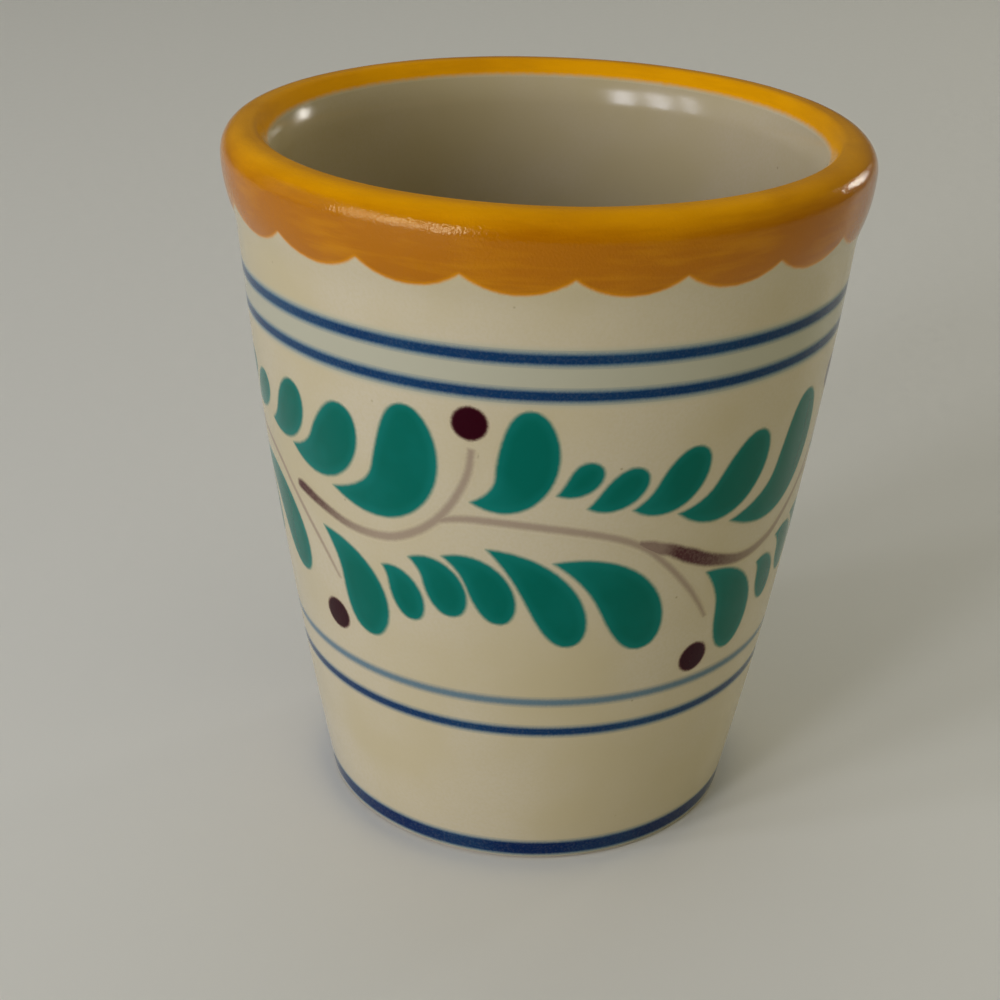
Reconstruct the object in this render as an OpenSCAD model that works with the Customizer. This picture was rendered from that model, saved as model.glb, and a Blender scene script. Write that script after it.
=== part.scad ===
// Hand-painted ceramic cup without a handle.
// The clay body carries an inner, an outer and a base glaze. The colours lie on the outer glaze:
// an ochre rim with a scalloped edge, five blue lines, and a garland of four sprays of leaves,
// stems and berries. Every layer starts exactly where the one under it ends.

/* [Cup] */
// Height of the cup
cup_h = 101; // [92:1:112]
// Diameter over the swollen rim
rim_d = 90; // [82:1:98]
// How far the swollen rim stands out from the wall below it
swell_out = 1.8; // [1.5:0.1:2.4]
// Depth below the lip at which that wall is measured
shoulder_drop = 13; // [11:0.5:18]
// Diameter of the wall at the table
foot_d = 61.2; // [54:0.2:70]
// How far the wall bows outward between foot and shoulder
wall_bow = 1.2; // [0.6:0.1:2.4]
// Thickness of the wall with its glazes
wall_t = 6.7; // [6:0.1:7.4]
// Height of the floor inside, above the table
floor_t = 7; // [5.5:0.5:12]
// Round between the floor and the wall inside
floor_round = 9; // [4:0.5:14]

/* [Rim] */
// Round on the inner edge of the lip
lip_in_round = 1.4; // [1:0.1:2]
// Width of the flat crown between the inner and the outer round of the lip
crown_w = 0.6; // [0.1:0.1:1]
// Depth below the lip at which the wall starts to flare inside
flare_depth = 6.5; // [5:0.1:7]
// Long round of that flare
flare_round = 10; // [9:0.5:14]
// Round of the swelling under the lip
swell_round = 20; // [14:1:30]
// Hollow round that blends the swelling into the wall
swell_blend = 14; // [8:1:24]

/* [Foot] */
// Width of the ring that the cup stands on
foot_ring_w = 5; // [3:0.5:9]
// Depth of the recess under the cup
foot_recess = 2; // [1:0.25:3]
// How much the side of the recess leans inward
recess_lean = 0.8; // [0:0.1:2]
// Height of the bare, bevelled edge below the glaze
foot_bare = 0.4; // [0.2:0.1:0.7]

/* [Glaze and colours] */
// Thickness of the glaze
glaze_t = 0.4; // [0.25:0.05:0.6]
// Thickness of the painted colours
paint_t = 0.12; // [0.08:0.02:0.2]

/* [Rim band] */
// Depth of the cusps between the scallops, below the lip
band_drop = 8.1; // [6:0.1:9]
// How far the scallops hang below the cusps
scallop_h = 2.4; // [1.5:0.1:4.5]
// Number of scallops round the rim
scallop_count = 20; // [14:1:28]
// How far the ochre runs down inside the cup
band_inside = 2.5; // [1.8:0.1:5]
// Direction of one cusp, in degrees from the front
scallop_turn = 5; // [-10:0.5:10]

/* [Blue lines] */
// Height of the middle of the broad line at the foot
foot_line_z = 2.1; // [2:0.1:8]
// Width of the broad line at the foot
foot_line_w = 2.3; // [1.2:0.1:2.4]
// Bare glaze between the two lines under the garland
low_line_gap = 3.9; // [1:0.1:8]
// Width of the lower line under the garland
low_lower_w = 1.5; // [0.6:0.1:1.9]
// Height of the middle of the upper line under the garland
low_upper_z = 29.8; // [28:0.1:34]
// Width of the upper line under the garland
low_upper_w = 1.1; // [0.6:0.1:1.9]
// Depth of the middle of the lower line over the garland, below the lip
top_lower_drop = 23.7; // [22:0.1:30]
// Width of the lower line over the garland
top_lower_w = 1.6; // [0.6:0.1:1.9]
// Bare glaze between the two lines over the garland
top_line_gap = 3.35; // [1:0.05:5]
// Width of the upper line over the garland
top_upper_w = 1.7; // [0.6:0.1:1.9]

/* [Garland] */
// Direction in which the first spray starts, in degrees from the front
garland_turn = -55; // [-180:1:180]
// How far the hand of the painter drifts up and down in one turn
garland_drift = 2.2; // [0:0.1:2.6]
// Radius of a berry
berry_r = 2.45; // [1.5:0.05:2.7]
// Half width of a stem at its dark start
stem_half_w = 0.85; // [0.5:0.05:0.95]

/* [Hidden] */
$fa = 3;
$fs = 0.4;
over = 1;
spray_names = ["a", "b", "c", "d"];
part_names = ["upper_leaves", "lower_leaves", "stems", "berries"];
line_names = ["foot_line", "low_line_lower", "low_line_upper", "top_line_lower", "top_line_upper"];

clay = "#c9b08c";
cream = "#cfc4a6";
ochre = "#c98500";
cobalt = "#1d3f68";
leaf_green = "#00695a";
mauve = "#8d7166";
maroon = "#330a14";

// The wall is one long arc through the foot and the shoulder, bowed outward.
foot_r = foot_d / 2;
rim_r = rim_d / 2;
shoulder_r = rim_r - swell_out;
shoulder_z = cup_h - shoulder_drop;
chord = norm([shoulder_r - foot_r, shoulder_z]);
wall_round = (chord * chord / 4 + wall_bow * wall_bow) / (2 * wall_bow);
along = [shoulder_r - foot_r, shoulder_z] / chord;
wall_c = [foot_r + shoulder_r, shoulder_z] / 2 + [-along[1], along[0]] * (wall_round - wall_bow);
inner_round = wall_round - wall_t;
function wall_r(z) = wall_c[0] + sqrt(pow(wall_round, 2) - pow(z - wall_c[1], 2));

// A point on the line from one centre to another, at a distance from the first.
function toward(from, to, distance) = from + (to - from) * distance / norm(to - from);

// The inner wall flares outward in a long round, which ends in the small inner round of the lip.
// The flat crown and the larger outer round follow.
flare_z = cup_h - flare_depth;
flare_low = [wall_c[0] + sqrt(pow(inner_round, 2) - pow(flare_z - wall_c[1], 2)), flare_z];
flare_c = toward(wall_c, flare_low, inner_round + flare_round);
lip_in_z = cup_h - lip_in_round;
lip_in_c = [flare_c[0] - sqrt(pow(flare_round - lip_in_round, 2) - pow(lip_in_z - flare_c[1], 2)), lip_in_z];
lip_out_round = rim_r - crown_w - lip_in_c[0];
lip_out_c = [rim_r - lip_out_round, cup_h - lip_out_round];

// The swelling under the lip is tangent to the lip, and its hollow blend to the swelling and the wall.
swell_c = [rim_r - swell_round, lip_out_c[1]];
span = norm(swell_c - wall_c);
to_swell = (swell_c - wall_c) / span;
reach = (pow(wall_round + swell_blend, 2) - pow(swell_round + swell_blend, 2) + span * span) / (2 * span);
rise = sqrt(pow(wall_round + swell_blend, 2) - reach * reach);
blend_c = wall_c + reach * to_swell + rise * [to_swell[1], -to_swell[0]];

// The round between floor and wall inside.
corner_z = floor_t + floor_round;
corner_c = [wall_c[0] + sqrt(pow(inner_round - floor_round, 2) - pow(corner_z - wall_c[1], 2)), corner_z];

// A rectangle from its lower inner to its upper outer corner.
module block(from, to) {
    polygon([from, [to[0], from[1]], to, [from[0], to[1]]]);
}

// The outer outline filled to the axis, drawn in by an inset.
module outer_shape(inset = 0) {
    wall_top = toward(wall_c, blend_c, wall_round - inset);
    swell_low = toward(swell_c, blend_c, swell_round - inset);
    intersection() {
        translate(wall_c) circle(wall_round - inset, $fn = 720);
        block([0, 0], [rim_r, wall_top[1]]);
    }
    difference() {
        polygon([[0, wall_top[1]], wall_top, swell_low, [0, swell_low[1]]]);
        translate(blend_c) circle(swell_blend + inset);
    }
    intersection() {
        union() {
            translate(swell_c) circle(swell_round - inset);
            block([0, 0], [swell_c[0], cup_h]);
        }
        block([0, swell_low[1]], [rim_r + over, swell_c[1]]);
    }
    intersection() {
        translate(lip_out_c) circle(lip_out_round - inset);
        block(lip_out_c, [rim_r + over, cup_h + over]);
    }
    block([0, lip_out_c[1]], [lip_out_c[0], cup_h - inset]);
}

// The hollow inside the cup, up to above the lip, widened by a distance.
module hollow_shape(wider = 0) {
    wall_top = toward(wall_c, flare_c, inner_round + wider);
    flare_top = toward(flare_c, lip_in_c, flare_round - wider);
    wall_low = toward(wall_c, corner_c, inner_round + wider);
    intersection() {
        translate(wall_c) circle(inner_round + wider, $fn = 720);
        block([0, wall_low[1]], [rim_r, wall_top[1]]);
    }
    intersection() {
        translate(corner_c) circle(floor_round + wider);
        block([corner_c[0], floor_t - wider], [rim_r, wall_low[1]]);
    }
    block([0, floor_t - wider], [corner_c[0], wall_low[1]]);
    difference() {
        block([0, wall_top[1]], [flare_c[0], flare_top[1]]);
        translate(flare_c) circle(flare_round - wider);
    }
    difference() {
        block([0, flare_top[1]], [lip_in_c[0], cup_h + over]);
        translate(lip_in_c) circle(lip_in_round - wider);
    }
}

// The recess under the cup, up to a height.
module recess_shape(top) {
    mouth_r = foot_r - foot_ring_w;
    slope = recess_lean / foot_recess;
    polygon([[0, -over], [mouth_r + over * slope, -over], [mouth_r - top * slope, top], [0, top]]);
}

// A strip across the outline between two heights, from a radius outward.
module strip(low, high, from_r = 0) {
    block([from_r, low], [rim_r + over, high]);
}

module clay_body() {
    bare_r = wall_r(0) - glaze_t;
    bevel_r = bare_r - foot_bare;
    color(clay) rotate_extrude() difference() {
        outer_shape(glaze_t);
        hollow_shape(glaze_t);
        recess_shape(foot_recess + glaze_t);
        polygon([[bevel_r, 0], [bare_r + over, -over], [bare_r + over, foot_bare], [bare_r, foot_bare]]);
    }
}

module inner_glaze() {
    color(cream) rotate_extrude() difference() {
        hollow_shape(glaze_t);
        hollow_shape();
    }
}

module outer_glaze() {
    color(cream) rotate_extrude() difference() {
        outer_shape();
        outer_shape(glaze_t);
        strip(-over, foot_bare);
        block([0, lip_out_c[1]], [lip_in_c[0], cup_h + over]);
    }
}

module base_glaze() {
    color(cream) rotate_extrude() intersection() {
        recess_shape(foot_recess + glaze_t);
        strip(foot_recess, foot_recess + glaze_t);
    }
}

// The outline of colour laid on the outer glaze between two heights.
module paint_shape(low, high) {
    intersection() {
        difference() {
            outer_shape(-paint_t);
            outer_shape();
        }
        strip(low, high, wall_r(0) - over);
    }
}

module rim_band() {
    color(ochre) rotate_extrude() {
        difference() {
            paint_shape(cup_h - band_drop, cup_h + over);
            block([0, lip_out_c[1]], [lip_in_c[0], cup_h + over]);
        }
        difference() {
            hollow_shape();
            hollow_shape(-paint_t);
            block([0, 0], [rim_r, cup_h - band_inside]);
        }
    }
}

// A flat outline sent outward through the wall in a direction, in degrees from the front.
module send_out(direction) {
    rotate(direction) rotate([90, 0, 0]) linear_extrude(rim_r + over) children();
}

module rim_scallops() {
    cusp_z = cup_h - band_drop;
    step = 360 / scallop_count;
    half_w = wall_r(cusp_z) * sin(step / 2);
    lobe_r = (half_w * half_w + scallop_h * scallop_h) / (2 * scallop_h);
    color(ochre) for (i = [0 : scallop_count - 1]) intersection() {
        rotate_extrude() paint_shape(cusp_z - scallop_h - over, cusp_z);
        send_out(scallop_turn + (i + 0.5) * step) translate([0, cusp_z - scallop_h + lobe_r]) circle(lobe_r);
    }
}

// The middle and the width of each blue line, from the foot up.
low_lower_z = low_upper_z - low_upper_w / 2 - low_line_gap - low_lower_w / 2;
top_lower_z = cup_h - top_lower_drop;
top_upper_z = top_lower_z + top_lower_w / 2 + top_line_gap + top_upper_w / 2;
line_places = [
    [foot_line_z, foot_line_w],
    [low_lower_z, low_lower_w],
    [low_upper_z, low_upper_w],
    [top_lower_z, top_lower_w],
    [top_upper_z, top_upper_w]
];

module blue_line(place) {
    middle = place[0];
    half_w = place[1] / 2;
    color(cobalt) rotate_extrude() paint_shape(middle - half_w, middle + half_w);
}

// The garland fills the space between the two pairs of lines. A spray is as wide as its share of
// the turn, and its strokes are placed in shares of that width and of the garland's height.
garland_low = low_upper_z;
garland_high = top_lower_z;
garland_h = garland_high - garland_low;
spray_width_shares = [0.234, 0.25, 0.258, 0.258];
upper_slip_shares = [0, -0.02, 0, 0.01];
lower_slip_shares = [0, -0.005, 0.01, 0.03];

// Tail, bend and head of each leaf stroke, across and up, then half its width as a share of the height.
upper_leaf_shares = [
    [0.511, 0.655, 0.668, 0.658, 0.634, 0.954, 0.083],
    [0.698, 0.705, 0.755, 0.729, 0.782, 0.809, 0.043],
    [0.766, 0.668, 0.831, 0.683, 0.888, 0.788, 0.051],
    [-0.103, 0.66, 0, 0.662, 0.038, 0.843, 0.068],
    [0.003, 0.635, 0.16, 0.596, 0.203, 0.85, 0.082],
    [0.15, 0.573, 0.41, 0.55, 0.36, 0.912, 0.097]
];
lower_leaf_shares = [
    [0.093, 0.415, 0.257, 0.327, 0.21, 0.106, 0.081],
    [0.28, 0.374, 0.345, 0.362, 0.36, 0.216, 0.052],
    [0.356, 0.43, 0.451, 0.426, 0.462, 0.262, 0.061],
    [0.441, 0.462, 0.564, 0.453, 0.579, 0.264, 0.063],
    [0.547, 0.512, 0.712, 0.436, 0.75, 0.206, 0.073],
    [0.698, 0.488, 0.909, 0.45, 0.932, 0.188, 0.086]
];
// Points that a stem runs through, across and up, then its half width as a share of that at its start.
stem_shares = [
    [0, 0.506, 0.45], [0.01, 0.505, 0.85], [0.035, 0.502, 1], [0.1, 0.485, 0.85],
    [0.2, 0.464, 0.75], [0.3, 0.475, 0.75], [0.37, 0.513, 0.7], [0.43, 0.573, 0.65],
    [0.475, 0.65, 0.6], [0.507, 0.74, 0.55], [0.517, 0.82, 0.5]
];
branch_shares = [
    [0.465, 0.589, 0.4], [0.5, 0.598, 0.6], [0.58, 0.604, 0.65], [0.66, 0.602, 0.65],
    [0.74, 0.594, 0.65], [0.81, 0.58, 0.6], [0.87, 0.558, 0.6], [0.92, 0.525, 0.55], [0.96, 0.483, 0.5],
    [1, 0.437, 0.5], [1.05, 0.37, 0.45], [1.09, 0.308, 0.35], [1.12, 0.255, 0.25]
];
// How much deeper than that the stem of each spray sags before it rises to its berry, and how far across.
stem_sag_shares = [0, 0.036, 0.012, 0.024];
sag_width_share = 0.37;
berry_shares = [[0.513, 0.895], [0.1, 0.115]];
stroke_steps = 12;
stem_steps = 3;
belly_share = 0.68;
head_power = 0.45;
crowding_power = 1.6;

function sum_to(list, i) = i == 0 ? 0 : list[i - 1] + sum_to(list, i - 1);
function spray_start(s) = garland_turn + 360 * sum_to(spray_width_shares, s);
function direction_of(s, across) = spray_start(s) + 360 * spray_width_shares[s] * across;
function height_of(direction, up) = garland_low + garland_h * up - garland_drift * sin(direction);

// A place on the wall as a point of a flat outline that is sent out in a direction.
function flat_point(s, place, facing) =
    let (direction = direction_of(s, place[0]), z = height_of(direction, place[1]))
    [wall_r(z) * sin(direction - facing), z];

// Width of a brush stroke from its tail, at 0, to its head, at 1: it swells to a belly and rounds off.
function swell(t) =
    let (tail_power = head_power * belly_share / (1 - belly_share))
    pow(t / belly_share, tail_power) * pow((1 - t) / (1 - belly_share), head_power);
function bend_point(p, t) = (1 - t) * (1 - t) * p[0] + 2 * t * (1 - t) * p[1] + t * t * p[2];
function bend_side(p, t) =
    let (d = (1 - t) * (p[1] - p[0]) + t * (p[2] - p[1])) [-d[1], d[0]] / norm(d);

module leaf(s, shares, slip) {
    places = [for (i = [0 : 2 : 4]) [shares[i] + slip, shares[i + 1]]];
    facing = direction_of(s, (places[0][0] + places[2][0]) / 2);
    p = [for (place = places) flat_point(s, place, facing)];
    half_w = shares[6] * garland_h;
    steps = [for (i = [0 : stroke_steps]) 1 - pow(1 - i / stroke_steps, crowding_power)];
    inner_steps = [for (i = [1 : stroke_steps - 1]) steps[stroke_steps - i]];
    send_out(facing) polygon(concat(
        [for (t = steps) bend_point(p, t) + half_w * swell(t) * bend_side(p, t)],
        [for (t = inner_steps) bend_point(p, t) - half_w * swell(t) * bend_side(p, t)]
    ));
}

// A smooth curve through a list of points, each with a width as its last number.
function smooth(a, b, c, d, t) =
    b + t * (c - a) / 2 + t * t * (a - 2.5 * b + 2 * c - d / 2) + t * t * t * (1.5 * (b - c) + (d - a) / 2);
function run(p) = [
    for (i = [0 : len(p) - 2]) for (k = [0 : stem_steps - 1])
        smooth(p[max(i - 1, 0)], p[i], p[i + 1], p[min(i + 2, len(p) - 1)], k / stem_steps),
    p[len(p) - 1]
];
function sagged(s, place) =
    [place[0], place[1] - stem_sag_shares[s] * sin(180 * min(place[0] / sag_width_share, 1)), place[2]];
function side_of(q, i) =
    let (d = q[min(i + 1, len(q) - 1)] - q[max(i - 1, 0)]) [-d[1], d[0]] / norm([d[0], d[1]]);

module stem(s, shares) {
    facing = direction_of(s, (shares[0][0] + shares[len(shares) - 1][0]) / 2);
    p = [for (place = shares) let (f = flat_point(s, sagged(s, place), facing))
        [f[0], f[1], place[2] * stem_half_w]];
    q = run(p);
    last = len(q) - 1;
    send_out(facing) polygon(concat(
        [for (i = [0 : last]) [q[i][0], q[i][1]] + q[i][2] * side_of(q, i)],
        [for (i = [last : -1 : 0]) [q[i][0], q[i][1]] - q[i][2] * side_of(q, i)]
    ));
}

// A stroke cut out of the colour on the wall between the two lines next to the garland.
module on_wall() {
    intersection() {
        rotate_extrude() paint_shape(garland_low + low_upper_w / 2, garland_high - top_lower_w / 2);
        children();
    }
}

module upper_leaves(s) {
    color(leaf_green) for (shares = upper_leaf_shares) on_wall() leaf(s, shares, upper_slip_shares[s]);
}

module lower_leaves(s) {
    color(leaf_green) for (shares = lower_leaf_shares) on_wall() leaf(s, shares, lower_slip_shares[s]);
}

module stems(s) {
    color(mauve) for (shares = [stem_shares, branch_shares]) on_wall() stem(s, shares);
}

module berries(s) {
    color(maroon) for (place = berry_shares) {
        facing = direction_of(s, place[0]);
        on_wall() send_out(facing) translate([0, height_of(facing, place[1])]) circle(berry_r);
    }
}

clay_body();
inner_glaze();
outer_glaze();
base_glaze();
rim_band();
rim_scallops();
for (i = [0 : len(line_names) - 1]) {
    blue_line(line_places[i]);
}
for (s = [0 : len(spray_names) - 1]) {
    upper_leaves(s);
    lower_leaves(s);
    stems(s);
    berries(s);
}
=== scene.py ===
"""Hand-painted ceramic cup: the glazes and the brushwork on it, and the stage it stands on."""

import math

import bpy
import numpy as np
from mathutils import Matrix, Vector, noise


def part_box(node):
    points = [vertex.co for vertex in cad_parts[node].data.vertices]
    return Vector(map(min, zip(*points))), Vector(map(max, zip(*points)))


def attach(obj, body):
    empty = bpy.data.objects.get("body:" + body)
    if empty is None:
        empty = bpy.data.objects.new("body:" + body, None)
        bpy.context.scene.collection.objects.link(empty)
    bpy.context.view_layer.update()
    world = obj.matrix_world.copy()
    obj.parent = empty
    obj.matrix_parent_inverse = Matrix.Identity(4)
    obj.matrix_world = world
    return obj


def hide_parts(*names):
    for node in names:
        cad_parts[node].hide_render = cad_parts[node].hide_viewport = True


bl_info = {
    "name": "Hand-painted cup",
    "version": (1, 0, 0),
    "blender": (4, 5, 0),
    "location": "3D View > Sidebar > Cup",
    "description": "Glazes and brushwork of a thrown ceramic cup",
    "category": "Object",
}

MM = 0.001
BODY = "root"
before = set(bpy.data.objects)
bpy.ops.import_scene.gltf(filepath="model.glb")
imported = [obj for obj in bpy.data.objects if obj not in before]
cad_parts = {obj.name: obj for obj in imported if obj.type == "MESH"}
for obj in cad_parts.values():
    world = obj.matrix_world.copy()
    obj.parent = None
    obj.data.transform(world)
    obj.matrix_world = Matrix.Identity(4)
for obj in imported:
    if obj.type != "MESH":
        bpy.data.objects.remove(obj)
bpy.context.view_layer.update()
glaze_low, glaze_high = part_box("outer_glaze")


def size(name, description, default):
    """A length that a user may change, in metres."""
    return bpy.props.FloatProperty(
        name=name, description=description, default=default, unit="LENGTH", precision=5
    )


def linear(code):
    """Linear colour of an sRGB hex value, with alpha."""
    channels = [int(code[i : i + 2], 16) / 255 for i in (1, 3, 5)]
    return (*[c / 12.92 if c <= 0.04045 else ((c + 0.055) / 1.055) ** 2.4 for c in channels], 1.0)


def tint(name, description, code):
    """A colour that a user may change, given as an sRGB hex value."""
    return bpy.props.FloatVectorProperty(
        name=name, description=description, default=linear(code), subtype="COLOR", size=4, min=0, max=1
    )


def angle(name, description, degrees):
    """A direction round the cup that a user may change, given in degrees."""
    return bpy.props.FloatProperty(
        name=name, description=description, default=math.radians(degrees), subtype="ANGLE"
    )


class CupForm(bpy.types.PropertyGroup):
    """Section of the cup, from the foot over the lip to the floor."""

    height: size("Height", "Height of the cup", glaze_high.z)
    rim_d: size("Rim", "Diameter over the swollen rim", glaze_high.x - glaze_low.x)
    swell_out: size("Swelling", "How far the rim stands out from the wall below it", 1.8 * MM)
    shoulder_drop: size("Shoulder drop", "Depth below the lip where that wall is measured", 13 * MM)
    foot_d: size("Foot", "Diameter of the wall at the table", 61.2 * MM)
    wall_bow: size("Bow", "How far the wall bows outward", 1.2 * MM)
    wall_t: size("Wall", "Thickness of the wall with its glazes", 6.7 * MM)
    floor_t: size("Floor", "Height of the floor inside", 7 * MM)
    floor_round: size("Floor round", "Round between floor and wall inside", 9 * MM)
    lip_in_round: size("Inner lip round", "Round on the inner edge of the lip", 1.4 * MM)
    crown_w: size("Crown", "Width of the flat crown of the lip", 0.6 * MM)
    flare_depth: size("Flare depth", "Depth below the lip where the wall flares inside", 6.5 * MM)
    flare_round: size("Flare round", "Long round of that flare", 10 * MM)
    swell_round: size("Swelling round", "Round of the swelling under the lip", 20 * MM)
    swell_blend: size("Swelling blend", "Hollow round under the swelling", 14 * MM)
    foot_bare: size("Bare foot", "Height of the bare edge below the glaze", glaze_low.z)
    glaze_t: size("Glaze", "Thickness of the glaze", 0.4 * MM)
    uneven: size("Unevenness", "Depth of the soft hollows that the hand leaves", 0.16 * MM)


class CupPainting(bpy.types.PropertyGroup):
    """Places and sizes of the brushwork."""

    band_drop: size("Scallop cusps", "Depth of the cusps below the lip", 8.1 * MM)
    scallop_h: size("Scallops", "How far the scallops hang below the cusps", 2.4 * MM)
    scallop_count: bpy.props.IntProperty(
        name="Scallop count", description="Number of scallops round the rim", default=20, min=3
    )
    scallop_turn: angle("Scallop turn", "Direction of one cusp", 5)
    band_inside: size("Ochre inside", "How far the ochre runs down inside", 2.1 * MM)
    garland_turn: angle("Garland turn", "Direction in which the first spray starts", -55)
    garland_drift: size("Garland drift", "How far the garland drifts up and down in a turn", 2.2 * MM)
    berry_r: size("Berry", "Radius of a berry", 2.45 * MM)
    stem_half_w: size("Stem", "Half width of a stem at its dark start", 0.85 * MM)
    bleed: size("Bleed", "Width of the soft edge of a stroke", 0.42 * MM)
    paint_lift: size("Lift", "How far a full stroke stands on the glaze", 0.002 * MM)


class CupColours(bpy.types.PropertyGroup):
    """Colours of the clay, the glaze and the pigments."""

    clay: tint("Clay", "Bare fired clay", "#B99C76")
    grog: tint("Grog", "Darker grains in the clay", "#8E6F4B")
    cream: tint("Cream", "Cream glaze", "#C6BA9D")
    cream_warm: tint("Warm cream", "Cream glaze where it lies thin", "#C0B28C")
    # The glaze inside is painted a shade darker than outside: painted shade for the dimmer light inside
    # the cup.
    cream_inside_shaded: tint("Cream inside", "Cream glaze inside the cup", "#BDB092")
    cream_inside_warm_shaded: tint("Warm cream inside", "The same where it lies thin", "#B8AA84")
    cream_blush: tint("Tinged cream", "Cream glaze between the two upper lines", "#B2AF97")
    speck: tint("Speck", "Iron specks in the glaze", "#8A7A58")
    # The thin ochre is also painted light where the crown faces up, and the thick ochre is also painted
    # shade on the outward side under the lip.
    ochre_thin_and_lit: tint("Thin ochre", "Ochre where the brush left little", "#F0A600")
    ochre_thick_and_shaded: tint("Thick ochre", "Ochre where it pooled", "#B06900")
    cobalt_thin: tint("Thin cobalt", "Cobalt where the brush ran dry", "#3F6A80")
    cobalt_thick: tint("Thick cobalt", "Cobalt where it pooled", "#00305A")
    foot_cobalt: tint("Foot cobalt", "Cobalt of the broad foot line", "#00204F")
    green_thin: tint("Thin green", "Copper green at a watery tail", "#0F7469")
    green_thick: tint("Thick green", "Copper green where it pooled", "#006354")
    mauve_thin: tint("Thin mauve", "Mauve of a stem where it runs out", "#9A8674")
    mauve_thick: tint("Thick mauve", "Mauve at the dark start of a stem", "#4E2A2A")
    maroon: tint("Maroon", "Maroon of a berry", "#2A000C")
    floor: tint("Floor", "Pale floor under the cup", "#E9E8E0")


# The section of the cup. A row of its outline is a radius, a height and the normal there. Each arc
# has a centre and a side: 1 where the centre is in the clay, -1 where it is in the air.


def toward(a, b, distance):
    """The point on the line from a to b at a distance from a."""
    a, b = np.asarray(a), np.asarray(b)
    return a + (b - a) * distance / np.linalg.norm(b - a)


class Section:
    """Centres and radii of the cup's outline, worked out as in the part's source."""

    def __init__(self, f):
        self.f = f
        foot_r, rim_r = f.foot_d / 2, f.rim_d / 2
        shoulder = np.array([rim_r - f.swell_out, f.height - f.shoulder_drop])
        foot = np.array([foot_r, 0.0])
        chord = np.linalg.norm(shoulder - foot)
        upward = (shoulder - foot) / chord
        self.wall_round = (chord**2 / 4 + f.wall_bow**2) / (2 * f.wall_bow)
        inward = np.array([-upward[1], upward[0]])
        self.wall_c = (foot + shoulder) / 2 + inward * (self.wall_round - f.wall_bow)
        self.inner_round = self.wall_round - f.wall_t
        self.flare_c = toward(
            self.wall_c, [self.inner_r(f.height - f.flare_depth), f.height - f.flare_depth],
            self.inner_round + f.flare_round,
        )
        lip_z = f.height - f.lip_in_round
        reach = math.sqrt((f.flare_round - f.lip_in_round) ** 2 - (lip_z - self.flare_c[1]) ** 2)
        self.lip_in_c = np.array([self.flare_c[0] - reach, lip_z])
        self.lip_out_round = rim_r - f.crown_w - self.lip_in_c[0]
        self.lip_out_c = np.array([rim_r, f.height]) - self.lip_out_round
        self.swell_c = np.array([rim_r - f.swell_round, self.lip_out_c[1]])
        self.blend_c = self.meet(
            self.wall_c, self.wall_round + f.swell_blend,
            self.swell_c, f.swell_round + f.swell_blend,
        )
        corner_z = f.floor_t + f.floor_round
        drop = corner_z - self.wall_c[1]
        corner_x = self.wall_c[0] + math.sqrt((self.inner_round - f.floor_round) ** 2 - drop**2)
        self.corner_c = np.array([corner_x, corner_z])

    @staticmethod
    def meet(a, a_round, b, b_round):
        """The lower of the two points at the given distances from two centres."""
        span = np.linalg.norm(b - a)
        to_b = (b - a) / span
        reach = (a_round**2 - b_round**2 + span**2) / (2 * span)
        rise = math.sqrt(a_round**2 - reach**2)
        return a + reach * to_b + rise * np.array([to_b[1], -to_b[0]])

    def wall_r(self, z):
        """Radius of the outer wall at a height."""
        return self.wall_c[0] + np.sqrt(self.wall_round**2 - (z - self.wall_c[1]) ** 2)

    def inner_r(self, z):
        """Radius of the inner wall at a height."""
        return self.wall_c[0] + math.sqrt(self.inner_round**2 - (z - self.wall_c[1]) ** 2)

    def outside(self, step, fine):
        """Rows of the outline from the bare foot edge up to the crown, fine where it curves."""
        f = self.f
        wall_top = toward(self.wall_c, self.blend_c, self.wall_round)
        swell_low = toward(self.swell_c, self.blend_c, f.swell_round)
        start = [self.wall_r(f.foot_bare), f.foot_bare]
        rim_side = [f.rim_d / 2, self.lip_out_c[1]]
        crown = [self.lip_out_c[0], f.height]
        return join(
            arc(self.wall_c, start, wall_top, 1, step),
            arc(self.blend_c, wall_top, swell_low, -1, fine),
            arc(self.swell_c, swell_low, rim_side, 1, fine),
            arc(self.lip_out_c, rim_side, crown, 1, fine / 2),
            line(crown, [self.lip_in_c[0], f.height], [0, 1], fine / 2),
        )

    def inside(self, step, fine):
        """Rows of the outline from the crown down to the middle of the floor, fine where it flares."""
        f = self.f
        crown = [self.lip_in_c[0], f.height]
        flare_top = toward(self.flare_c, self.lip_in_c, f.flare_round)
        flare_low = toward(self.wall_c, self.flare_c, self.inner_round)
        wall_low = toward(self.wall_c, self.corner_c, self.inner_round)
        floor_edge = [self.corner_c[0], f.floor_t]
        return join(
            arc(self.lip_in_c, crown, flare_top, 1, fine * 2 / 3),
            arc(self.flare_c, flare_top, flare_low, 1, fine),
            arc(self.wall_c, flare_low, wall_low, -1, step),
            arc(self.corner_c, wall_low, floor_edge, -1, step),
            line(floor_edge, [step / 4, f.floor_t], [0, 1], step),
        )


def arc(centre, start, end, side, step):
    """Rows of radius, height and normal along an arc between two points on it."""
    centre = np.asarray(centre)
    a, b = np.asarray(start) - centre, np.asarray(end) - centre
    low = math.atan2(a[1], a[0])
    turn = math.atan2(a[0] * b[1] - a[1] * b[0], a @ b)
    radius = np.linalg.norm(a)
    count = max(2, math.ceil(abs(turn) * radius / step))
    way = low + turn * np.linspace(0, 1, count + 1)
    normal = np.stack([np.cos(way), np.sin(way)], -1)
    return np.hstack([centre + radius * normal, side * normal])


def line(start, end, normal, step):
    """Rows of radius, height and normal along a straight stretch."""
    start, end = np.asarray(start, float), np.asarray(end, float)
    count = max(1, math.ceil(np.linalg.norm(end - start) / step))
    t = np.linspace(0, 1, count + 1)[:, None]
    return np.hstack([start + t * (end - start), np.tile(normal, (count + 1, 1))])


def join(*rows):
    """Stretches of outline one after the other, without the doubled ends."""
    return np.vstack([rows[0]] + [r[1:] for r in rows[1:]])


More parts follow.
